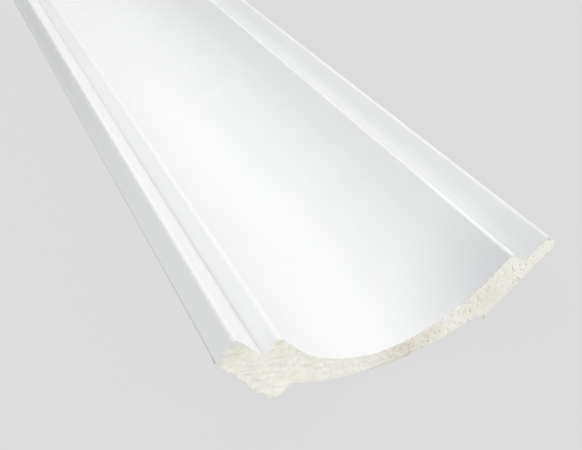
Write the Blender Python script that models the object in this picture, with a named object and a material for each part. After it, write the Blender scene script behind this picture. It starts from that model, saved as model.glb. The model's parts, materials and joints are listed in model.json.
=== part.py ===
"""A length of cove cornice (crown moulding) in rigid foam, lying face up on its back.

The section is drawn as the moulding is fitted: "out" runs from the wall along the ceiling, and
"drop" runs from the ceiling down the wall. It has a flat bearing face against the wall and
another against the ceiling, a thin curved web between them, and on its face a lower fillet, a
step, the hollow of the cove, a ridge and an upper fillet. The section is then turned onto its
back, as a loose length rests on a bench, and runs along Y, with the cut end towards -Y.
"""

import math

import bmesh
import bpy
from mathutils import Vector
from mathutils.geometry import convex_hull_2d

MM = 0.001

# The whole moulding
LENGTH = 500.0 * MM
WALL_DROP = 90.0 * MM
CEILING_RUN = 120.0 * MM

# The lower edge and its fillet, on the wall side
EDGE_DEPTH = 11.5 * MM
EDGE_RAKE = 1.7 * MM
EDGE_ROUND = 2.6 * MM
LOWER_FILLET = 15.7 * MM
LOWER_LEAN = 0.6 * MM
LOWER_STEP = 9.1 * MM
LIP_ROUND = 2.2 * MM

# The hollow of the cove
COVE_STRAIGHT = 9.0 * MM
COVE_BAND = 15.0 * MM

# The ridge and the upper fillet, on the ceiling side
UPPER_FILLET = 14.2 * MM
UPPER_TIP = 5.9 * MM
UPPER_ROOT = 6.8 * MM
UPPER_STEP = 7.6 * MM
RIDGE_LEAN = 0.6 * MM
RIDGE_ROUND = 1.0 * MM
TIP_ROUND = 1.2 * MM

# The back: two bearing faces and the hollow web between them
WALL_BEARING = 34.8 * MM
WALL_FOOT = 9.4 * MM
WALL_HEEL = 2.2 * MM
CEILING_BEARING = 42.7 * MM
CEILING_FOOT = 5.2 * MM
CEILING_HEEL = 1.2 * MM
BACK_RADIUS = 105.4 * MM

# Facets
ROUND_STEPS = 5
COVE_STEPS = 40
BACK_STEPS = 24
SHARP_ANGLE = math.radians(25.0)

COAT_COLOUR = (0.86, 0.87, 0.86, 1.0)
COAT_ROUGHNESS = 0.45


def rounded(before, corner, after, radius):
    """The points of an arc of this radius that rounds a corner of the outline."""
    into = (Vector(before) - Vector(corner)).normalized()
    out = (Vector(after) - Vector(corner)).normalized()
    half = into.angle(out) / 2
    centre = Vector(corner) + (into + out).normalized() * (radius / math.sin(half))
    start = Vector(corner) + into * (radius / math.tan(half)) - centre
    end = Vector(corner) + out * (radius / math.tan(half)) - centre
    turn = math.atan2(start.cross(end), start.dot(end))
    points = []
    for step in range(ROUND_STEPS + 1):
        angle = math.atan2(start.y, start.x) + turn * step / ROUND_STEPS
        points.append((centre.x + radius * math.cos(angle), centre.y + radius * math.sin(angle)))
    return points


def cove_curve(lip, crown):
    """A quarter of an ellipse, from where the cove leaves the lip to where it reaches the band."""
    across = crown[0] - lip[0]
    down = lip[1] - crown[1]
    points = []
    for step in range(COVE_STEPS + 1):
        angle = math.pi / 2 * step / COVE_STEPS
        points.append((crown[0] - across * math.cos(angle), lip[1] - down * math.sin(angle)))
    return points


def back_curve(start, end):
    """An arc of BACK_RADIUS between two points, bulging towards the corner of wall and ceiling."""
    first, last = Vector(start), Vector(end)
    chord = last - first
    depth = math.sqrt(BACK_RADIUS**2 - (chord.length / 2) ** 2)
    into_room = Vector((abs(chord.y), abs(chord.x))).normalized()
    centre = (first + last) / 2 + into_room * depth
    from_centre = first - centre
    turn = math.atan2(from_centre.cross(last - centre), from_centre.dot(last - centre))
    points = []
    for step in range(BACK_STEPS + 1):
        angle = math.atan2(from_centre.y, from_centre.x) + turn * step / BACK_STEPS
        points.append((centre.x + BACK_RADIUS * math.cos(angle), centre.y + BACK_RADIUS * math.sin(angle)))
    return points


def section():
    """The outline as fitted, as (out, drop) points: first the face, from the wall to the ceiling."""
    wall_edge = (0.0, WALL_DROP)
    lower_corner = (EDGE_DEPTH, WALL_DROP + EDGE_RAKE)
    step_root = (EDGE_DEPTH + LOWER_LEAN, lower_corner[1] - LOWER_FILLET)
    lip_corner = (step_root[0] + LOWER_STEP, step_root[1])
    cove_start = (lip_corner[0], lip_corner[1] - COVE_STRAIGHT)

    ridge_root = (CEILING_RUN - UPPER_FILLET, UPPER_ROOT)
    ridge = (ridge_root[0] - RIDGE_LEAN, UPPER_ROOT + UPPER_STEP)
    cove_crown = (ridge[0] - COVE_BAND, ridge[1])
    tip = (CEILING_RUN, UPPER_TIP)
    ceiling_edge = (CEILING_RUN, 0.0)

    ceiling_heel = (CEILING_RUN - CEILING_BEARING, 0.0)
    web_top = (ceiling_heel[0] - CEILING_HEEL, CEILING_FOOT)
    bearing_top = WALL_DROP - WALL_BEARING
    web_bottom = (WALL_FOOT, bearing_top)
    wall_heel = (WALL_HEEL, bearing_top)
    bearing_start = (0.0, bearing_top + WALL_HEEL)

    outline = [wall_edge]
    outline += rounded(wall_edge, lower_corner, step_root, EDGE_ROUND)
    outline += [step_root]
    outline += rounded(step_root, lip_corner, cove_start, LIP_ROUND)
    outline += cove_curve(cove_start, cove_crown)
    outline += rounded(cove_crown, ridge, ridge_root, RIDGE_ROUND)
    outline += [ridge_root]
    outline += rounded(ridge_root, tip, ceiling_edge, TIP_ROUND)
    outline += [ceiling_edge, ceiling_heel]
    outline += back_curve(web_top, web_bottom)
    outline += [wall_heel, bearing_start]
    return [Vector(point) for point in outline]


def centre_of_mass(outline):
    """The centroid of the area inside a closed outline."""
    area = 0.0
    moment = Vector((0.0, 0.0))
    for here, following in zip(outline, outline[1:] + outline[:1]):
        slab = here.cross(following)
        area += slab
        moment += (here + following) * slab
    return moment / (3 * area)


def resting_turn(outline):
    """The turn, anticlockwise, that lays the section on the hull edge under its centre of mass.

    Only edges of the back count, which face the wall or the ceiling, so the face stays up.
    """
    centre = centre_of_mass(outline)
    hull = [outline[index] for index in convex_hull_2d(outline)]
    for here, following in zip(hull, hull[1:] + hull[:1]):
        along = (following - here).normalized()
        if along.x <= 0 or along.y >= 0:
            continue
        if 0 <= (centre - here).dot(along) <= (following - here).length:
            return math.atan2(-along.y, along.x)
    return math.atan2(centre.x, centre.y)


def lay_down(outline):
    """The outline turned onto its back, with its lowest point at 0 and its width centred on 0."""
    turn = resting_turn(outline)
    turned = []
    for point in outline:
        across = point.x * math.cos(turn) - point.y * math.sin(turn)
        height = point.x * math.sin(turn) + point.y * math.cos(turn)
        turned.append(Vector((across, height)))
    lowest = min(point.y for point in turned)
    middle = (min(point.x for point in turned) + max(point.x for point in turned)) / 2
    return [point - Vector((middle, lowest)) for point in turned]


def coat_material():
    """The white satin coat of the face."""
    material = bpy.data.materials.new("white_coat")
    material.use_nodes = True
    shader = material.node_tree.nodes["Principled BSDF"]
    shader.inputs["Base Color"].default_value = COAT_COLOUR
    shader.inputs["Roughness"].default_value = COAT_ROUGHNESS
    shader.inputs["Metallic"].default_value = 0.0
    return material


def cornice_moulding():
    """The one solid piece: the section drawn on the cut end, then extruded along the length."""
    shape = bmesh.new()
    rim = [shape.verts.new((point.x, -LENGTH / 2, point.y)) for point in lay_down(section())]
    cut_end = shape.faces.new(rim)
    run = bmesh.ops.extrude_face_region(shape, geom=[cut_end], use_keep_orig=True)
    far_rim = [item for item in run["geom"] if isinstance(item, bmesh.types.BMVert)]
    bmesh.ops.translate(shape, verts=far_rim, vec=(0.0, LENGTH, 0.0))
    bmesh.ops.recalc_face_normals(shape, faces=shape.faces)
    mesh = bpy.data.meshes.new("cornice_moulding")
    shape.to_mesh(mesh)
    shape.free()
    mesh.shade_smooth()
    mesh.set_sharp_from_angle(angle=SHARP_ANGLE)
    mesh.materials.append(coat_material())
    moulding = bpy.data.objects.new("cornice_moulding", mesh)
    bpy.context.scene.collection.objects.link(moulding)
    return moulding


for leftover in list(bpy.data.objects):
    bpy.data.objects.remove(leftover, do_unlink=True)
cornice_moulding()
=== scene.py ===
"""Looks of a loose length of foam cove cornice: a satin white coat on its face, raw foam behind.

The moulding is drawn as it is fitted, "out" from the wall and "drop" down from the ceiling, and is
then laid on its back where the frame's two bearing faces are. Its cut ends get the crumbled relief
of torn foam, and the raw faces beside them small tear-outs and a burr.
"""

import json
import logging
import math
from collections.abc import Iterable
from dataclasses import dataclass, field
from enum import IntEnum

import bmesh
import bpy
from mathutils import Euler, Matrix, Vector, noise

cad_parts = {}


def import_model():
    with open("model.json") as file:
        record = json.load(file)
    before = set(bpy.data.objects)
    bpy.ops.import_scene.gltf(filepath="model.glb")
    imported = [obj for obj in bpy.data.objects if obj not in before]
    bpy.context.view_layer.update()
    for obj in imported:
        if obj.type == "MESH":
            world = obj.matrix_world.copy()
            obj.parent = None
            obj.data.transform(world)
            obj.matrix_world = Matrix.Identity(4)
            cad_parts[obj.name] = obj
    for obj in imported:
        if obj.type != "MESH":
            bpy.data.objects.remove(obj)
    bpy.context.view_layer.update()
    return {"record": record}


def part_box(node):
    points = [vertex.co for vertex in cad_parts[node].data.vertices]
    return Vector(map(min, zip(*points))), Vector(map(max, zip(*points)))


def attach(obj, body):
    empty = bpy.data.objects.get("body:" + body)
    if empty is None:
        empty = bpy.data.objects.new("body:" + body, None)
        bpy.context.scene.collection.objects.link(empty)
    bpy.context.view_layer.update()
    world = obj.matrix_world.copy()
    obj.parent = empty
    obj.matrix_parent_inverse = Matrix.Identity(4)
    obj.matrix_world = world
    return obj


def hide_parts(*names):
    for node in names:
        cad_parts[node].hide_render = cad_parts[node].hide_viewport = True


MM = 0.001
LOG = logging.getLogger("cornice")

# A patch this long is even all along the moulding, and is centred half way along it
THROUGHOUT = 20.0
MID_RUN = 250.0 * MM

Colour = tuple[float, float, float, float]


class Surface(IntEnum):
    """The material index of each kind of surface on the moulding."""

    COAT = 0
    FOAM = 1


def smooth_step(low: float, high: float, value: float) -> float:
    """A ramp with soft ends, 0 at low and 1 at high."""
    share = min(max((value - low) / (high - low), 0.0), 1.0)
    return share * share * (3.0 - 2.0 * share)


def unit_noise(place: Vector) -> float:
    """Smooth noise from 0 to 1, with lumps of size 1."""
    return 0.5 + 0.5 * noise.noise(place)


@dataclass(frozen=True)
class Section:
    """The sizes of the section as fitted, and the outline that they give."""

    wall_drop: float = 90.0 * MM
    ceiling_run: float = 120.5 * MM
    edge_depth: float = 12.2 * MM
    edge_rake: float = 1.7 * MM
    edge_round: float = 3.8 * MM
    edge_profile: float = 0.68
    lower_fillet: float = 15.7 * MM
    lower_lean: float = 0.1 * MM
    lower_step: float = 9.6 * MM
    lip_round: float = 2.2 * MM
    cove_straight: float = 9.0 * MM
    cove_band: float = 15.0 * MM
    upper_fillet: float = 15.0 * MM
    upper_tip: float = 5.9 * MM
    upper_root: float = 6.8 * MM
    upper_step: float = 7.6 * MM
    ridge_lean: float = 0.6 * MM
    ridge_round: float = 1.7 * MM
    tip_round: float = 1.7 * MM
    wall_bearing: float = 34.8 * MM
    wall_foot: float = 9.4 * MM
    wall_heel: float = 2.2 * MM
    ceiling_bearing: float = 43.2 * MM
    ceiling_foot: float = 5.2 * MM
    ceiling_heel: float = 1.2 * MM
    back_radius: float = 105.4 * MM
    arc_pitch: float = 0.7 * MM
    round_segments: int = 7
    round_profile: float = 0.5

    @property
    def step_root(self) -> Vector:
        """The inner corner between the lower fillet and its step."""
        drop = self.wall_drop + self.edge_rake - self.lower_fillet
        return Vector((self.edge_depth + self.lower_lean, drop))

    @property
    def lip(self) -> Vector:
        """The corner where the step meets the cove."""
        return self.step_root + Vector((self.lower_step, 0.0))

    @property
    def ridge_root(self) -> Vector:
        """The inner corner between the ridge and the upper fillet."""
        return Vector((self.ceiling_run - self.upper_fillet, self.upper_root))

    @property
    def ridge(self) -> Vector:
        """The corner of the ridge."""
        return self.ridge_root + Vector((-self.ridge_lean, self.upper_step))

    @property
    def cove_centre(self) -> Vector:
        """The centre of the cove's quarter ellipse."""
        return Vector((self.ridge.x - self.cove_band, self.lip.y - self.cove_straight))

    @property
    def cove_reach(self) -> Vector:
        """The half axes of that ellipse, along out and along drop."""
        return Vector((self.cove_centre.x - self.lip.x, self.cove_centre.y - self.ridge.y))

    @property
    def web_top(self) -> Vector:
        """Where the back of the web meets the ceiling foot."""
        heel = self.ceiling_run - self.ceiling_bearing
        return Vector((heel - self.ceiling_heel, self.ceiling_foot))

    @property
    def web_bottom(self) -> Vector:
        """Where the back of the web meets the wall foot."""
        return Vector((self.wall_foot, self.wall_drop - self.wall_bearing))

    @property
    def back_centre(self) -> Vector:
        """The centre of the back's arc, out in the room."""
        chord = self.web_bottom - self.web_top
        depth = math.sqrt(self.back_radius**2 - (chord.length / 2.0) ** 2)
        into_room = Vector((abs(chord.y), abs(chord.x))).normalized()
        return (self.web_top + self.web_bottom) / 2.0 + into_room * depth

    def from_edge(self, out: float, drop: float) -> float:
        """How far a place of the section is from the edge face."""
        along = Vector((self.edge_depth, self.edge_rake)).normalized()
        return abs(along.cross(Vector((out, drop - self.wall_drop))))

    def from_back(self, place: Vector) -> float:
        """How far a place of the section is from the back's arc, towards the room."""
        return self.back_radius - (place - self.back_centre).length

    def true(self, place: Vector, tolerance: float) -> Vector:
        """Puts a point that is very near the cove or the back exactly on its curve.

        Args:
            place: the point, as (out, drop).
            tolerance: how far from a curve a point still belongs to it.

        Returns:
            The point on the curve, or the same point.
        """
        reach = self.cove_reach
        from_cove = place - self.cove_centre
        if from_cove.x <= 0.0 and from_cove.y <= 0.0:
            unit = Vector((from_cove.x / reach.x, from_cove.y / reach.y)).normalized()
            on_cove = self.cove_centre + Vector((unit.x * reach.x, unit.y * reach.y))
            if (on_cove - place).length < tolerance:
                return on_cove
        on_back = self.back_centre + (place - self.back_centre).normalized() * self.back_radius
        on_web = place.y > self.web_top.y and place.x > self.web_bottom.x
        if on_web and (on_back - place).length < tolerance:
            return on_back
        return place

    def _arc(self, shape: bmesh.types.BMesh, start: Vector, end: Vector, centre: Vector) -> list:
        """Spins a vertex from start to end about centre, in the plane of the section.

        Args:
            shape: the mesh that takes the arc.
            start, end: the ends of the arc, as (out, drop).
            centre: its centre.

        Returns:
            The vertices of the arc, in order.
        """
        arc = [shape.verts.new((start.x, 0.0, start.y))]
        from_centre, to_end = start - centre, end - centre
        turn = math.atan2(from_centre.cross(to_end), from_centre.dot(to_end))
        steps = max(2, round(abs(turn) * from_centre.length / self.arc_pitch))
        for _ in range(steps):
            spun = bmesh.ops.spin(
                shape, geom=[arc[-1]], cent=(centre.x, 0.0, centre.y), axis=(0.0, -1.0, 0.0),
                angle=turn / steps, steps=1, use_merge=False, use_duplicate=False,
            )
            arc += [item for item in spun["geom_last"] if isinstance(item, bmesh.types.BMVert)]
        return arc

    def _cove(self, shape: bmesh.types.BMesh) -> list:
        """The hollow of the cove: a quarter circle, squeezed to the cove's depth."""
        centre, reach = self.cove_centre, self.cove_reach
        arc = self._arc(shape, centre - Vector((reach.x, 0.0)), centre - Vector((0.0, reach.x)), centre)
        squeeze = Matrix.Diagonal((1.0, 1.0, reach.y / reach.x, 1.0))
        bmesh.ops.transform(
            shape, matrix=squeeze, space=Matrix.Translation((-centre.x, 0.0, -centre.y)), verts=arc,
        )
        return arc

    def face(self, shape: bmesh.types.BMesh) -> bmesh.types.BMFace:
        """Draws the section as one face in the plane of out and drop.

        Args:
            shape: the mesh that takes the face.

        Returns:
            The face, with its corners rounded.
        """
        def corner(out: float, drop: float) -> bmesh.types.BMVert:
            """A corner of the outline."""
            return shape.verts.new((out, 0.0, drop))

        bearing_top = self.web_bottom.y
        rim = [corner(0.0, self.wall_drop)]
        rim += [lower := corner(self.edge_depth, self.wall_drop + self.edge_rake)]
        rim += [corner(*self.step_root), lip := corner(*self.lip)]
        rim += self._cove(shape)
        rim += [ridge := corner(*self.ridge), corner(*self.ridge_root)]
        rim += [tip := corner(self.ceiling_run, self.upper_tip), corner(self.ceiling_run, 0.0)]
        rim += [corner(self.ceiling_run - self.ceiling_bearing, 0.0)]
        rim += self._arc(shape, self.web_top, self.web_bottom, self.back_centre)
        rim += [corner(self.wall_heel, bearing_top), corner(0.0, bearing_top + self.wall_heel)]
        face = shape.faces.new(rim)
        rounds = (
            (lower, self.edge_round, self.edge_profile), (lip, self.lip_round, self.round_profile),
            (ridge, self.ridge_round, self.round_profile), (tip, self.tip_round, self.round_profile))
        for vert, reach, profile in rounds:
            bmesh.ops.bevel(
                shape, geom=[vert], offset=reach, offset_type="OFFSET", affect="VERTICES",
                segments=self.round_segments, profile=profile, material=-1,
            )
        return face


@dataclass(frozen=True)
class Crumble:
    """The relief of sawn foam on a cut end, as how far it stands back from the plane of the cut."""

    wave: float = 0.55 * MM
    wave_size: float = 8.0 * MM
    flake: float = 0.65 * MM
    flake_size: tuple[float, float] = (5.6 * MM, 1.3 * MM)
    flake_span: tuple[float, float] = (0.2, 0.8)
    flake_past_foot: float = 0.25
    warp: float = 0.6
    warp_size: float = 4.0 * MM
    grain: float = 0.28 * MM
    grain_size: float = 1.1 * MM
    grain_lost_at_foot: float = 0.4
    pit: float = 0.80 * MM
    pit_size: float = 2.1 * MM
    pit_span: tuple[float, float] = (0.04, 0.30)
    pit_lost_at_foot: float = 0.8
    sawn_off: float = 0.60 * MM
    foot_reach: tuple[float, float] = (14.0 * MM, 46.0 * MM)
    arris_width: float = 2.8 * MM
    arris_depth: float = 0.8 * MM
    seed: float = 3.7

    def depth(self, out: float, drop: float, across: float, height: float) -> float:
        """How far the foam stands back at one place of the cut.

        Args:
            out, drop: the place as fitted.
            across, height: the same place as the moulding lies, which the flakes follow.

        Returns:
            A depth in metres, below 0 where it stands proud of the plane of the cut.
        """
        place = Vector((out, drop, self.seed))
        near_foot = 1.0 - smooth_step(*self.foot_reach, out)
        wave = unit_noise(place / self.wave_size)
        layer = Vector((across / self.flake_size[0], height / self.flake_size[1], self.seed))
        warp = self.warp * noise.noise(Vector((across, height, 0.0)) / self.warp_size)
        flakes = smooth_step(*self.flake_span, unit_noise(layer + Vector((0.0, warp, 0.0))))
        flakes *= self.flake_past_foot + (1.0 - self.flake_past_foot) * near_foot
        grains = 0.5 + 0.5 * noise.fractal(place / self.grain_size, 0.9, 2.0, 2)
        grains *= 1.0 - self.grain_lost_at_foot * near_foot
        from_cell = noise.voronoi(place / self.pit_size)[0][0]
        pits = 1.0 - smooth_step(*self.pit_span, from_cell)
        pits *= 1.0 - self.pit_lost_at_foot * near_foot
        depth = self.wave * wave + self.flake * flakes + self.grain * grains + self.pit * pits
        return depth - self.sawn_off

    def arris(self, from_edge: float) -> float:
        """How far the rubbed arris beside the edge face stands back, at this distance from it."""
        share = max(0.0, 1.0 - from_edge / self.arris_width)
        return self.arris_depth * share * share


@dataclass(frozen=True)
class Chip:
    """A scallop torn out of a raw face, at its place along that face, or a tuft where depth is below 0."""

    place: float
    half_width: float
    depth: float

    def at(self, place: float) -> float:
        """How deep the scallop is at one place along the face."""
        share = (place - self.place) / self.half_width
        return self.depth * max(0.0, 1.0 - share * share)


@dataclass(frozen=True)
class TearOuts:
    """What broke away from the raw faces at a cut end, and the burr that stands out of them."""

    wall_chips: tuple[Chip, ...] = (
        Chip(86.6 * MM, 2.4 * MM, 0.30 * MM), Chip(80.2 * MM, 3.4 * MM, 0.85 * MM),
        Chip(74.2 * MM, 2.4 * MM, 0.60 * MM), Chip(68.6 * MM, 1.5 * MM, 0.25 * MM),
        Chip(66.0 * MM, 6.0 * MM, -0.50 * MM), Chip(62.0 * MM, 1.8 * MM, 0.50 * MM))
    ceiling_chips: tuple[Chip, ...] = (
        Chip(82.6 * MM, 2.2 * MM, 0.35 * MM), Chip(89.5 * MM, 1.6 * MM, 0.20 * MM),
        Chip(100.2 * MM, 2.2 * MM, 0.30 * MM), Chip(107.2 * MM, 6.5 * MM, 0.30 * MM))
    web_chips: tuple[Chip, ...] = (
        Chip(18.0 * MM, 2.5 * MM, -0.40 * MM), Chip(74.0 * MM, 5.0 * MM, -0.80 * MM),
        Chip(29.0 * MM, 3.0 * MM, 0.35 * MM), Chip(54.0 * MM, 4.0 * MM, 0.35 * MM))
    ripple: float = 0.60 * MM
    ripple_size: float = 2.0 * MM
    burr: float = 0.68 * MM
    reach_along: float = 7.0 * MM
    reach_in: float = 6.0 * MM
    seed: float = 11.3

    def _deep(self, chips: tuple[Chip, ...], place: float, from_end: float) -> float:
        """How far a raw face is torn back at one place along it."""
        ripple = unit_noise(Vector((place / self.ripple_size, from_end / self.ripple_size, self.seed)))
        torn = sum(chip.at(place) for chip in chips)
        return self.ripple * ripple + torn - self.burr

    def bite(self, section: Section, place: Vector, from_end: float) -> Vector:
        """How far a point near a raw face moves away from that face.

        Args:
            section: the section that the faces belong to.
            place: the point as fitted, as (out, drop).
            from_end: its distance from the cut.

        Returns:
            The move along out and along drop.
        """
        wall = self._deep(self.wall_chips, place.y, from_end)
        wall *= max(0.0, 1.0 - place.x / self.reach_in)
        ceiling = self._deep(self.ceiling_chips, place.x, from_end)
        ceiling *= max(0.0, 1.0 - place.y / self.reach_in)
        web_reach = self.reach_in / 2.0
        web = self._deep(self.web_chips, place.x, from_end)
        web *= smooth_step(section.web_top.y - web_reach, section.web_top.y, place.y)
        web *= smooth_step(section.web_bottom.x - web_reach, section.web_bottom.x, place.x)
        web *= max(0.0, 1.0 - abs(section.from_back(place)) / web_reach)
        move = Vector((wall, ceiling)) + (section.back_centre - place).normalized() * web
        return move * (1.0 - smooth_step(0.0, self.reach_along, from_end))


@dataclass
class Moulding:
    """The whole length: its mesh, its place in the frame and its two finishes."""

    record: dict
    section: Section = field(default_factory=Section)
    crumble: Crumble = field(default_factory=Crumble)
    tears: TearOuts = field(default_factory=TearOuts)
    far_tears: TearOuts = TearOuts(
        wall_chips=(Chip(71.0 * MM, 3.0 * MM, 0.6 * MM),),
        ceiling_chips=(Chip(94.0 * MM, 4.0 * MM, 0.5 * MM),))
    grid_pitch: float = 0.55 * MM
    first_row: float = 0.35 * MM
    row_growth: float = 1.45
    longest_row: float = 24.0 * MM
    merge: float = 0.04 * MM
    flat: float = 0.001 * MM
    on_plane: float = 0.0001 * MM
    settle_reach: float = 12.0 * MM
    far_shift: float = 40.0 * MM
    end_normal: float = 0.5
    raw_normal: float = -0.3
    sharp_angle: float = math.radians(32.0)

    def _mount(self, name: str) -> tuple[Vector, Vector]:
        """The place and the outward axis of one of the record's mounts."""
        mount = next(mount for mount in self.record["mounts"] if mount["name"] == name)
        return Vector(mount["pos_m"]), Vector(mount["axis"]).normalized()

    def _lay_down(self) -> Matrix:
        """The move from the section as fitted to the moulding as it lies.

        Returns:
            A matrix that puts the wall face and the ceiling face on their mounts.
        """
        wall_place, wall_axis = self._mount("wall_face")
        ceiling_place, ceiling_axis = self._mount("ceiling_face")
        turn = Matrix(((-wall_axis.x, 0.0, -ceiling_axis.x), (0.0, 1.0, 0.0),
                       (-wall_axis.z, 0.0, -ceiling_axis.z)))
        reach_wall = wall_place.dot(wall_axis)
        reach_ceiling = ceiling_place.dot(ceiling_axis)
        corner = wall_axis * reach_wall + ceiling_axis * reach_ceiling
        return Matrix.Translation((corner.x, 0.0, corner.z)) @ turn.to_4x4()

    def _crossing(self, faces: Iterable, at: float, normal: Vector) -> list:
        """Those of the faces that a plane crosses, this far from the origin along its normal."""
        crossing = []
        for face in faces:
            reach = [vert.co.dot(normal) for vert in face.verts]
            if min(reach) < at < max(reach):
                crossing.append(face)
        return crossing

    def _bisect(self, shape: bmesh.types.BMesh, faces: list, place: Vector, normal: Vector) -> None:
        """Cuts these faces along a plane and keeps both sides."""
        edges = {edge for face in faces for edge in face.edges}
        verts = {vert for face in faces for vert in face.verts}
        bmesh.ops.bisect_plane(
            shape, geom=[*verts, *edges, *faces], dist=self.on_plane, plane_co=place, plane_no=normal,
        )

    def _cut_grid(self, shape: bmesh.types.BMesh) -> None:
        """Divides the section's face into small squares, for the relief."""
        run = self.section.ceiling_run
        drop = self.section.wall_drop + self.section.edge_rake
        for reach, normal in ((run, Vector((1.0, 0.0, 0.0))), (drop, Vector((0.0, 0.0, 1.0)))):
            for line in range(1, round(reach / self.grid_pitch) + 1):
                at = line * self.grid_pitch
                crossing = self._crossing(shape.faces, at, normal)
                if crossing:
                    self._bisect(shape, crossing, normal * at, normal)

    def _cut_rows(self, shape: bmesh.types.BMesh, length: float) -> None:
        """Cuts the sides into rows, close together at both ends and wide in the middle."""
        places = []
        step, at = self.first_row, self.first_row
        while at < length / 2.0:
            places += [at, length - at]
            step = min(step * self.row_growth, self.longest_row)
            at += step
        along = Vector((0.0, 1.0, 0.0))
        for place in sorted(places):
            sides = [face for face in shape.faces if abs(face.normal.y) < self.end_normal]
            self._bisect(shape, self._crossing(sides, place, along), along * place, along)

    def _roughen(self, shape: bmesh.types.BMesh, length: float, lay_down: Matrix) -> None:
        """Moves the points of both ends, and of the sides close to them, into torn foam."""
        for vert in shape.verts:
            out, along, drop = vert.co
            far = along > length / 2.0
            from_end = length - along if far else along
            if from_end > self.settle_reach:
                continue
            lying = lay_down @ vert.co
            shift = self.far_shift if far else 0.0
            depth = self.crumble.depth(out + shift, drop, lying.x + shift, lying.z)
            depth += self.crumble.arris(self.section.from_edge(out, drop))
            fade = (1.0 - from_end / self.settle_reach) ** 2
            tears = self.far_tears if far else self.tears
            bite = tears.bite(self.section, Vector((out, drop)), from_end)
            vert.co += Vector((bite.x, -depth * fade if far else depth * fade, bite.y))

    def build(self) -> bpy.types.Object:
        """Makes the moulding.

        Returns:
            The finished object, at the origin, with its place in its mesh.
        """
        low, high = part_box("cornice_moulding")
        length = high.y - low.y
        shape = bmesh.new()
        self.section.face(shape)
        self._cut_grid(shape)
        bmesh.ops.remove_doubles(shape, verts=shape.verts, dist=self.merge)
        near_rim = [edge for edge in shape.edges if edge.is_boundary]
        for vert in {vert for edge in near_rim for vert in edge.verts}:
            vert.co.x, vert.co.z = self.section.true(Vector((vert.co.x, vert.co.z)), 2.0 * self.merge)
        far_end = bmesh.ops.duplicate(shape, geom=[*shape.verts, *shape.edges, *shape.faces])
        far_verts = [item for item in far_end["geom"] if isinstance(item, bmesh.types.BMVert)]
        bmesh.ops.translate(shape, verts=far_verts, vec=(0.0, length, 0.0))
        far_rim = [item for item in far_end["geom"]
                   if isinstance(item, bmesh.types.BMEdge) and item.is_boundary]
        bmesh.ops.bridge_loops(shape, edges=[*near_rim, *far_rim])
        bmesh.ops.recalc_face_normals(shape, faces=shape.faces)
        self._cut_rows(shape, length)
        shape.normal_update()
        for face in shape.faces:
            end = abs(face.normal.y) > self.end_normal
            raw = end or min(face.normal.x, face.normal.z) < self.raw_normal
            face.material_index = Surface.FOAM if raw else Surface.COAT
        lay_down = self._lay_down()
        self._roughen(shape, length, lay_down)
        to_frame = Matrix.Translation((0.0, low.y, 0.0)) @ lay_down
        bmesh.ops.transform(shape, matrix=to_frame, verts=shape.verts)
        for vert in shape.verts:
            vert.co.z = max(vert.co.z, 0.0)
        bmesh.ops.dissolve_degenerate(shape, dist=self.flat, edges=shape.edges)
        shape.normal_update()
        mesh = bpy.data.meshes.new("cornice_moulding_skin")
        shape.to_mesh(mesh)
        shape.free()
        mesh.shade_smooth()
        mesh.set_sharp_from_angle(angle=self.sharp_angle)
        piece = bpy.data.objects.new("coated_moulding", mesh)
        bpy.context.scene.collection.objects.link(piece)
        return piece


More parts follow.
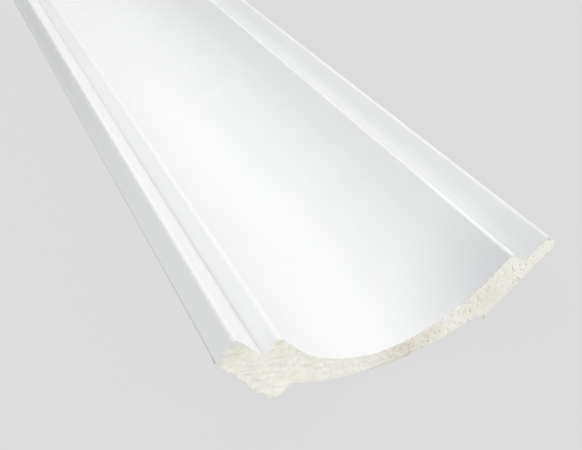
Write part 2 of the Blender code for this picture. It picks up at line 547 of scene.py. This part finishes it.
class NodeSketch:
    """A node material in the making, with its places along Y counted from the near cut."""

    def __init__(self, name: str, near_cut: float = 0.0) -> None:
        """Starts a material of this name with its Principled BSDF."""
        self.near_cut = near_cut
        self.material = bpy.data.materials.new(name)
        self.material.use_nodes = True
        self.tree = self.material.node_tree
        self.shader = self.tree.nodes["Principled BSDF"]
        self.place = self.node("ShaderNodeTexCoord").outputs["Object"]

    def node(self, kind: str, **settings: object) -> bpy.types.Node:
        """Adds a node.

        Args:
            kind: the node's type name.
            settings: its own properties, by name.

        Returns:
            The node.
        """
        made = self.tree.nodes.new(kind)
        for name, value in settings.items():
            setattr(made, name, value)
        return made

    def join(self, source: bpy.types.NodeSocket, target: bpy.types.NodeSocket) -> None:
        """Links one socket to another."""
        self.tree.links.new(source, target)

    def noise(self, size: float, detail: float = 2.0, roughness: float = 0.5,
              stretch: tuple[float, float, float] = (1.0, 1.0, 1.0)) -> bpy.types.NodeSocket:
        """Noise with lumps of this size in metres.

        Args:
            size: the size of the largest lumps.
            detail, roughness: how much finer noise is laid over them.
            stretch: how much longer the lumps are along each axis.

        Returns:
            The socket with the noise, from 0 to 1.
        """
        mapping = self.node("ShaderNodeMapping")
        mapping.inputs["Scale"].default_value = tuple(1.0 / share for share in stretch)
        self.join(self.place, mapping.inputs["Vector"])
        made = self.node("ShaderNodeTexNoise")
        made.inputs["Scale"].default_value = 1.0 / size
        made.inputs["Detail"].default_value = detail
        made.inputs["Roughness"].default_value = roughness
        self.join(mapping.outputs["Vector"], made.inputs["Vector"])
        return made.outputs["Fac"]

    def cells(self, size: float) -> bpy.types.NodeSocket:
        """The distance from the middle of the nearest cell, for cells of this size."""
        made = self.node("ShaderNodeTexVoronoi")
        made.inputs["Scale"].default_value = 1.0 / size
        self.join(self.place, made.inputs["Vector"])
        return made.outputs["Distance"]

    def axis(self, name: str) -> bpy.types.NodeSocket:
        """The place along one axis, X, Y or Z."""
        made = self.node("ShaderNodeSeparateXYZ")
        self.join(self.place, made.inputs["Vector"])
        return made.outputs[name]

    def around(self, centre: tuple[float, float, float], reach: float,
               length: float = 0.0) -> bpy.types.NodeSocket:
        """A soft round patch.

        Args:
            centre: its middle, counted along Y from the near cut.
            reach: how far from there it has faded away.
            length: how far it reaches along Y, if that is another distance.

        Returns:
            The socket with its strength, 1 at the centre and 0 from the reach on.
        """
        squeeze = reach / length if length else 1.0
        flat = self.node("ShaderNodeVectorMath", operation="MULTIPLY")
        flat.inputs[1].default_value = (1.0, squeeze, 1.0)
        self.join(self.place, flat.inputs[0])
        made = self.node("ShaderNodeVectorMath", operation="DISTANCE")
        made.inputs[1].default_value = (centre[0], (self.near_cut + centre[1]) * squeeze, centre[2])
        self.join(flat.outputs["Vector"], made.inputs[0])
        fade = self.node("ShaderNodeMapRange", interpolation_type="SMOOTHSTEP")
        for name, value in (("From Max", reach), ("To Min", 1.0), ("To Max", 0.0)):
            fade.inputs[name].default_value = value
        self.join(made.outputs["Value"], fade.inputs["Value"])
        return fade.outputs["Result"]

    def from_plane(self, place: tuple[float, float, float],
                   normal: tuple[float, float, float]) -> bpy.types.NodeSocket:
        """The distance in front of a plane through this place, counted along Y from the near cut."""
        offset = self.node("ShaderNodeVectorMath", operation="SUBTRACT")
        offset.inputs[1].default_value = (place[0], self.near_cut + place[1], place[2])
        self.join(self.place, offset.inputs[0])
        made = self.node("ShaderNodeVectorMath", operation="DOT_PRODUCT")
        made.inputs[1].default_value = normal
        self.join(offset.outputs["Vector"], made.inputs[0])
        return made.outputs["Value"]

    def ramp(self, source: bpy.types.NodeSocket, stops: list[tuple[float, Colour]]) -> bpy.types.NodeSocket:
        """Turns a value into a colour between stops."""
        made = self.node("ShaderNodeValToRGB")
        made.color_ramp.elements.remove(made.color_ramp.elements[1])
        made.color_ramp.elements[0].position, made.color_ramp.elements[0].color = stops[0]
        for position, colour in stops[1:]:
            made.color_ramp.elements.new(position).color = colour
        self.join(source, made.inputs["Fac"])
        return made.outputs["Color"]

    def span(self, source: bpy.types.NodeSocket, low: float, high: float,
             to_low: float = 0.0, to_high: float = 1.0) -> bpy.types.NodeSocket:
        """Maps a value from one range to another, and clamps it."""
        made = self.node("ShaderNodeMapRange")
        for name, value in (("From Min", low), ("From Max", high), ("To Min", to_low), ("To Max", to_high)):
            made.inputs[name].default_value = value
        self.join(source, made.inputs["Value"])
        return made.outputs["Result"]

    def maths(self, operation: str, first: object, second: object) -> bpy.types.NodeSocket:
        """One sum of two values, each a socket or a number."""
        made = self.node("ShaderNodeMath", operation=operation)
        for socket, value in zip(made.inputs, (first, second)):
            if isinstance(value, bpy.types.NodeSocket):
                self.join(value, socket)
            else:
                socket.default_value = value
        return made.outputs["Value"]

    def mix(self, share: bpy.types.NodeSocket, first: object, second: object,
            blend: str = "MIX") -> bpy.types.NodeSocket:
        """Mixes two colours, each a socket or a colour.

        Args:
            share: how much of the second shows, from 0 to 1.
            first, second: the colours.
            blend: how they mix.

        Returns:
            The socket with the mixed colour.
        """
        made = self.node("ShaderNodeMix", data_type="RGBA", blend_type=blend)
        colours = [socket for socket in made.inputs if socket.type == "RGBA"]
        self.join(share, made.inputs["Factor"])
        for socket, value in zip(colours, (first, second)):
            if isinstance(value, bpy.types.NodeSocket):
                self.join(value, socket)
            else:
                socket.default_value = value
        return next(socket for socket in made.outputs if socket.type == "RGBA")

    def bump(self, height: bpy.types.NodeSocket, distance: float, strength: float) -> None:
        """Raises the surface by a height field, whose full range is this distance."""
        made = self.node("ShaderNodeBump")
        made.inputs["Distance"].default_value = distance
        made.inputs["Strength"].default_value = strength
        self.join(height, made.inputs["Height"])
        self.join(made.outputs["Normal"], self.shader.inputs["Normal"])


@dataclass(frozen=True)
class Patch:
    """A soft patch of another tone, which the colour below is multiplied by."""

    centre: tuple[float, float, float]
    reach: float
    tint: Colour
    length: float = 0.0

    def over(self, sketch: NodeSketch, colour: bpy.types.NodeSocket) -> bpy.types.NodeSocket:
        """Lays the patch over a colour."""
        share = sketch.around(self.centre, self.reach, self.length)
        return sketch.mix(share, colour, self.tint, "MULTIPLY")


@dataclass(frozen=True)
class Grain:
    """Noise of which only the strong part shows, as grain, streaks, specks or crumbs."""

    size: float
    span: tuple[float, float]
    strength: tuple[float, float]
    detail: float = 2.0
    roughness: float = 0.7
    stretch: tuple[float, float, float] = (1.0, 1.0, 1.0)

    def over(self, sketch: NodeSketch) -> bpy.types.NodeSocket:
        """How strong the grain is from place to place."""
        lumps = sketch.noise(self.size, self.detail, self.roughness, self.stretch)
        return sketch.span(lumps, *self.span, *self.strength)


@dataclass(frozen=True)
class FoamFinish:
    """Raw rigid foam: cream, with patches of tone, fine grain and dark pits, and painted shade where it
    stands on the floor, at the heel and in the coat smeared beside the edge face.
    """

    name: str = "raw_foam"
    cream: Colour = (0.938, 0.930, 0.860, 1.0)
    pale: Colour = (0.958, 0.955, 0.898, 1.0)
    green: Colour = (0.918, 0.926, 0.822, 1.0)
    rose: Colour = (0.948, 0.912, 0.862, 1.0)
    tone_size: float = 6.0 * MM
    tone_stops: tuple[float, ...] = (0.32, 0.45, 0.58, 0.70)
    grain: Grain = Grain(0.8 * MM, (0.3, 0.7), (0.0, 0.5), 3.0, 0.6)
    foot_span: tuple[float, float] = (-45.0 * MM, -12.0 * MM)
    specks_at_foot: float = 0.2
    streaks_at_foot: float = 1.2
    dusk: Colour = (0.83, 0.832, 0.755, 1.0)
    streaks: Grain = Grain(1.3 * MM, (0.46, 0.64), (0.0, 0.55), 2.0, 0.5, (4.2, 1.0, 0.75))
    shade: Colour = (0.66, 0.63, 0.53, 1.0)
    specks: Grain = Grain(1.1 * MM, (0.30, 0.45), (0.38, 0.0))
    brown: Colour = (0.62, 0.575, 0.48, 1.0)
    crumbs: Grain = Grain(1.5 * MM, (0.36, 0.50), (0.6, 0.0), 3.0, 0.7, (1.6, 1.0, 0.9))
    thin_web: tuple[tuple[float, float, float], float] = ((1.0 * MM, 0.0, 1.0 * MM), 26.0 * MM)
    # painted contact shadow: the foam's lowest half millimetre, where it stands on the floor, is darkened
    # towards grey
    contact_shade_grey: Colour = (0.56, 0.55, 0.52, 1.0)
    contact_shade_span: tuple[float, float] = (0.10 * MM, 0.55 * MM)
    contact_shade: float = 0.8
    patches: tuple[Patch, ...] = (
        Patch((4.0 * MM, 0.0, 1.0 * MM), 19.0 * MM, (0.89, 0.87, 0.835, 1.0)),
        Patch((-65.0 * MM, 0.0, 34.0 * MM), 8.0 * MM, (0.93, 0.935, 0.89, 1.0)),
        Patch((-49.7 * MM, 0.0, 31.2 * MM), 3.8 * MM, (0.90, 0.90, 0.80, 1.0)),
        Patch((-74.5 * MM, 0.0, 29.8 * MM), 3.4 * MM, (0.83, 0.825, 0.74, 1.0)),
        Patch((-69.8 * MM, 0.0, 30.5 * MM), 5.6 * MM, (0.915, 0.91, 0.84, 1.0)),
        Patch((-47.0 * MM, 0.0, 10.0 * MM), 16.0 * MM, (1.035, 1.037, 1.022, 1.0)),
        Patch((16.5 * MM, 0.0, 9.1 * MM), 9.0 * MM, (0.972, 0.935, 0.925, 1.0)),
        Patch((43.0 * MM, 0.0, 15.0 * MM), 17.0 * MM, (0.955, 0.935, 0.91, 1.0)),
        # painted shade: a dark spot at the heel of the ceiling foot, at the cut
        Patch((41.3 * MM, 0.0, 5.9 * MM), 2.0 * MM, (0.72, 0.70, 0.62, 1.0)),
        Patch((71.3 * MM, 0.0, 32.4 * MM), 5.0 * MM, (1.03, 1.03, 1.02, 1.0)),
        Patch((71.3 * MM, 0.0, 36.8 * MM), 1.8 * MM, (0.76, 0.73, 0.68, 1.0)))
    # coat smeared over the cut beside the edge face; its colour is darkened as painted shade, to match the
    # shaded edge face
    smear_and_shade: Colour = (0.835, 0.845, 0.840, 1.0)
    smear_edge: tuple[float, float, float] = (-75.0 * MM, 0.0, 29.6 * MM)
    smear_inward: tuple[float, float, float] = (0.68, 0.0, -0.73)
    smear_span: tuple[float, float] = (0.2 * MM, 2.8 * MM)
    smear_cover: float = 0.95
    ragged: float = 2.0 * MM
    ragged_size: float = 2.4 * MM
    roughness: float = 0.95
    specular: float = 0.25
    bump_size: float = 0.7 * MM
    bump_height: float = 0.3 * MM
    bump_strength: float = 0.42
    cell_size: float = 1.0 * MM
    cell_span: tuple[float, float] = (0.0, 0.7)
    cell_share: float = 0.5

    def colour(self, sketch: NodeSketch) -> bpy.types.NodeSocket:
        """The foam's colour, which the coat's worn rim borrows."""
        stops = zip(self.tone_stops, (self.green, self.cream, self.pale, self.rose))
        tone = sketch.ramp(sketch.noise(self.tone_size, 3.0), list(stops))
        tone = sketch.mix(self.grain.over(sketch), tone, self.pale)
        beyond_foot = sketch.span(sketch.axis("X"), *self.foot_span, self.specks_at_foot, 1.0)
        at_foot = sketch.maths("SUBTRACT", self.streaks_at_foot, beyond_foot)
        streaks = sketch.maths("MULTIPLY", self.streaks.over(sketch), at_foot)
        tone = sketch.mix(streaks, tone, self.dusk)
        specks = sketch.maths("MULTIPLY", self.specks.over(sketch), beyond_foot)
        tone = sketch.mix(specks, tone, self.shade)
        crumbs = sketch.maths("MULTIPLY", self.crumbs.over(sketch), sketch.around(*self.thin_web))
        tone = sketch.mix(crumbs, tone, self.brown)
        # painted contact shadow: darker grey at the very bottom of the cut, beyond the foot
        low_down = sketch.span(sketch.axis("Z"), *self.contact_shade_span, self.contact_shade, 0.0)
        tone = sketch.mix(sketch.maths("MULTIPLY", low_down, beyond_foot), tone, self.contact_shade_grey)
        for patch in self.patches:
            tone = patch.over(sketch, tone)
        # the coat smeared beside the edge face, darkened as painted shade
        ragged = sketch.maths("SUBTRACT", sketch.noise(self.ragged_size, 3.0, 0.6), 0.5)
        ragged = sketch.maths("MULTIPLY", ragged, self.ragged)
        inward = sketch.maths("ADD", sketch.from_plane(self.smear_edge, self.smear_inward), ragged)
        cover = sketch.span(inward, *self.smear_span, self.smear_cover, 0.0)
        return sketch.mix(cover, tone, self.smear_and_shade)

    def build(self, near_cut: float) -> bpy.types.Material:
        """Makes the material, for a moulding with its near cut at this place along Y."""
        sketch = NodeSketch(self.name, near_cut)
        sketch.join(self.colour(sketch), sketch.shader.inputs["Base Color"])
        sketch.shader.inputs["Roughness"].default_value = self.roughness
        sketch.shader.inputs["Specular IOR Level"].default_value = self.specular
        cells = sketch.span(sketch.cells(self.cell_size), *self.cell_span, 0.0, self.cell_share)
        height = sketch.maths("ADD", sketch.noise(self.bump_size, 3.0, 0.65), cells)
        sketch.bump(height, self.bump_height, self.bump_strength)
        return sketch.material


@dataclass(frozen=True)
class CoatFinish:
    """The satin white coat: almost flat, with a faint sprayed texture, a worn rim at the cut, and patches
    of painted shade and a painted highlight.
    """

    name: str = "white_coat"
    white: Colour = (0.869, 0.872, 0.872, 1.0)
    grey: Colour = (0.858, 0.863, 0.863, 1.0)
    roughness: tuple[float, float] = (0.38, 0.48)
    cloud_size: float = 26.0 * MM
    cloud_span: tuple[float, float] = (0.3, 0.7)
    worn_reach: float = 0.15 * MM
    worn_size: float = 1.4 * MM
    worn_span: tuple[float, float] = (-0.1 * MM, 0.4 * MM)
    worn_corner: tuple[float, float, float] = (-66.5 * MM, 0.0, 37.5 * MM)
    corner_size: float = 5.0 * MM
    corner_reach: float = 1.0 * MM
    rim_shade: Colour = (0.55, 0.54, 0.46, 1.0)
    rim_specks: Grain = Grain(1.3 * MM, (0.40, 0.54), (0.0, 0.5))
    rim_span: tuple[float, float] = (0.2 * MM, 0.9 * MM)
    web_span: tuple[float, float] = (-10.0 * MM, 15.0 * MM)
    spray_size: float = 1.8 * MM
    spray_height: float = 0.05 * MM
    spray_strength: float = 0.25
    patches: tuple[Patch, ...] = (
        # painted shadow: a broad darker, bluer patch over the cove and band near the cut, with a second
        # darker patch inside it
        Patch((45.0 * MM, -2.0 * MM, 27.0 * MM), 56.0 * MM, (0.855, 0.86, 0.875, 1.0)),
        Patch((46.5 * MM, -2.0 * MM, 28.0 * MM), 22.0 * MM, (0.965, 0.965, 0.967, 1.0)),
        Patch((60.0 * MM, MID_RUN, 34.0 * MM), 26.0 * MM, (0.967, 0.97, 0.965, 1.0), THROUGHOUT),
        # painted highlight along the ridge near the cut
        Patch((54.6 * MM, 0.0, 34.7 * MM), 3.2 * MM, (1.3, 1.3, 1.3, 1.0), 110.0 * MM),
        # painted shade: the edge face darker away from the near cut
        Patch((-71.2 * MM, 350.0 * MM, 33.7 * MM), 8.0 * MM, (0.905, 0.905, 0.905, 1.0), 300.0 * MM),
        # painted shade in the groove at the root of the lower step
        Patch((-56.8 * MM, MID_RUN, 26.1 * MM), 1.8 * MM, (0.92, 0.92, 0.915, 1.0), THROUGHOUT),
        # a thin dark line along the lower arris of the edge face, where it meets the wall face
        Patch((-75.1 * MM, MID_RUN, 29.5 * MM), 1.1 * MM, (0.68, 0.69, 0.70, 1.0), THROUGHOUT))

    def _worn(self, sketch: NodeSketch, from_cut: bpy.types.NodeSocket) -> bpy.types.NodeSocket:
        """How far the coat is worn off, at this distance from the cut."""
        at_corner = sketch.around(self.worn_corner, self.corner_size)
        reach = sketch.maths("MULTIPLY", at_corner, 2.0 * self.corner_reach)
        reach = sketch.maths("ADD", reach, 2.0 * self.worn_reach)
        reach = sketch.maths("MULTIPLY", sketch.noise(self.worn_size, 3.0, 0.7), reach)
        return sketch.span(sketch.maths("SUBTRACT", from_cut, reach), *self.worn_span, 1.0, 0.0)

    def _rim(self, sketch: NodeSketch, from_cut: bpy.types.NodeSocket) -> bpy.types.NodeSocket:
        """How strong the dark specks along the rim are: they start where the web does."""
        specks = self.rim_specks.over(sketch)
        specks = sketch.maths("MULTIPLY", specks, sketch.span(from_cut, *self.rim_span, 1.0, 0.0))
        return sketch.maths("MULTIPLY", specks, sketch.span(sketch.axis("X"), *self.web_span))

    def build(self, foam: FoamFinish, near_cut: float) -> bpy.types.Material:
        """Makes the material.

        Args:
            foam: the finish that shows where the coat is worn off at the cut.
            near_cut: the place of the near cut along Y.

        Returns:
            The material.
        """
        sketch = NodeSketch(self.name, near_cut)
        clouds = sketch.noise(self.cloud_size, 3.0)
        coat = sketch.mix(sketch.span(clouds, *self.cloud_span), self.white, self.grey)
        for patch in self.patches:
            coat = patch.over(sketch, coat)
        from_cut = sketch.maths("SUBTRACT", sketch.axis("Y"), near_cut)
        coat = sketch.mix(self._worn(sketch, from_cut), coat, foam.colour(sketch))
        coat = sketch.mix(self._rim(sketch, from_cut), coat, self.rim_shade)
        sketch.join(coat, sketch.shader.inputs["Base Color"])
        shine = sketch.span(clouds, *self.cloud_span, *self.roughness)
        sketch.join(shine, sketch.shader.inputs["Roughness"])
        sketch.bump(sketch.noise(self.spray_size, 3.0, 0.55), self.spray_height, self.spray_strength)
        return sketch.material


@dataclass(frozen=True)
class SoftLight:
    """A large soft light far off: how far round to the right of the front, how high and how strong."""

    name: str
    turn: float
    height: float
    strength: float
    colour: tuple[float, float, float] = (1.0, 1.0, 1.0)


@dataclass(frozen=True)
class Studio:
    """A pale lit floor under soft light, seen from where the picture was taken."""

    floor_size: float = 12.0
    floor_glow: Colour = (0.690, 0.690, 0.690, 1.0)
    floor_colour: Colour = (0.025, 0.025, 0.025, 1.0)
    sky_light: float = 0.08
    sky_seen: float = 0.70
    soft_lights: tuple[SoftLight, ...] = (
        SoftLight("key", math.radians(45.0), math.radians(22.0), 1.85, (1.0, 0.975, 0.985)),
        SoftLight("front", 0.0, math.radians(12.0), 0.34, (0.99, 1.0, 0.99)),
        SoftLight("left", math.radians(270.0), math.radians(52.0), 1.26, (0.975, 1.0, 0.99)),
        SoftLight("back", math.radians(180.0), math.radians(52.0), 1.15),
        SoftLight("back_right", math.radians(135.0), math.radians(22.0), 0.66))
    light_spread: float = math.radians(55.0)
    top_place: tuple[float, float, float] = (0.0, -0.06, 0.40)
    top_size: float = 0.2
    top_watts: float = 0.075
    camera_place: tuple[float, float, float] = (-0.13222, -0.47314, 0.24001)
    camera_elevation: float = math.radians(33.657)
    camera_heading: float = math.radians(21.985)
    camera_roll: float = math.radians(-3.940)
    lens: float = 52.58
    sensor_width: float = 36.0
    clip_start: float = 0.01

    def floor(self) -> bpy.types.Object:
        """The floor, which is no part of the moulding."""
        shape = bmesh.new()
        bmesh.ops.create_grid(shape, x_segments=1, y_segments=1, size=self.floor_size / 2.0)
        mesh = bpy.data.meshes.new("floor")
        shape.to_mesh(mesh)
        shape.free()
        sketch = NodeSketch("pale_floor")
        sketch.shader.inputs["Base Color"].default_value = self.floor_colour
        sketch.shader.inputs["Roughness"].default_value = 1.0
        sketch.shader.inputs["Specular IOR Level"].default_value = 0.0
        sketch.shader.inputs["Emission Color"].default_value = self.floor_glow
        sketch.shader.inputs["Emission Strength"].default_value = 1.0
        mesh.materials.append(sketch.material)
        floor = bpy.data.objects.new("floor", mesh)
        bpy.context.scene.collection.objects.link(floor)
        return floor

    def sky(self) -> None:
        """A dim even sky, which looks as pale as the floor where the camera sees it."""
        world = bpy.data.worlds.new("studio")
        world.use_nodes = True
        background = world.node_tree.nodes["Background"]
        background.inputs["Color"].default_value = (1.0, 1.0, 1.0, 1.0)
        path = world.node_tree.nodes.new("ShaderNodeLightPath")
        strength = world.node_tree.nodes.new("ShaderNodeMapRange")
        strength.inputs["To Min"].default_value = self.sky_light
        strength.inputs["To Max"].default_value = self.sky_seen
        world.node_tree.links.new(path.outputs["Is Camera Ray"], strength.inputs["Value"])
        world.node_tree.links.new(strength.outputs["Result"], background.inputs["Strength"])
        bpy.context.scene.world = world

    def lights(self) -> None:
        """Soft lights all round, and a small lamp over the near end."""
        for light in self.soft_lights:
            lamp = bpy.data.lights.new(light.name, "SUN")
            lamp.energy, lamp.angle, lamp.color = light.strength, self.light_spread, light.colour
            sun = bpy.data.objects.new(light.name, lamp)
            turn = Euler((math.pi / 2.0 - light.height, 0.0, light.turn)).to_matrix()
            sun.matrix_world = turn.to_4x4()
            bpy.context.scene.collection.objects.link(sun)
        lamp = bpy.data.lights.new("top", "AREA")
        lamp.shape, lamp.size, lamp.energy = "SQUARE", self.top_size, self.top_watts
        top = bpy.data.objects.new("top", lamp)
        top.location = self.top_place
        top.visible_camera = False
        bpy.context.scene.collection.objects.link(top)

    def camera(self) -> None:
        """The camera of the picture: a short telephoto lens, looking down along the length."""
        data = bpy.data.cameras.new("camera")
        data.lens, data.sensor_width, data.clip_start = self.lens, self.sensor_width, self.clip_start
        camera = bpy.data.objects.new("camera", data)
        heading = Euler((0.0, 0.0, -self.camera_heading)).to_matrix()
        pitch = Euler((math.pi / 2.0 - self.camera_elevation, 0.0, 0.0)).to_matrix()
        roll = Euler((0.0, 0.0, self.camera_roll)).to_matrix()
        camera.matrix_world = Matrix.Translation(self.camera_place) @ (heading @ pitch @ roll).to_4x4()
        bpy.context.scene.collection.objects.link(camera)
        bpy.context.scene.camera = camera
        bpy.context.scene.view_settings.view_transform = "Standard"


def main() -> None:
    """Builds the studio and the moulding round the frame."""
    logging.basicConfig(level=logging.INFO, format="%(name)s: %(message)s")
    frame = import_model()
    studio = Studio()
    studio.camera()
    studio.sky()
    studio.lights()
    studio.floor()
    moulding = Moulding(frame["record"]).build()
    near_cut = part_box("cornice_moulding")[0].y
    foam = FoamFinish()
    moulding.data.materials.append(CoatFinish().build(foam, near_cut))
    moulding.data.materials.append(foam.build(near_cut))
    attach(moulding, "root")
    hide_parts("cornice_moulding")
    LOG.info("%s: %d faces", moulding.name, len(moulding.data.polygons))


if __name__ == "__main__":
    main()
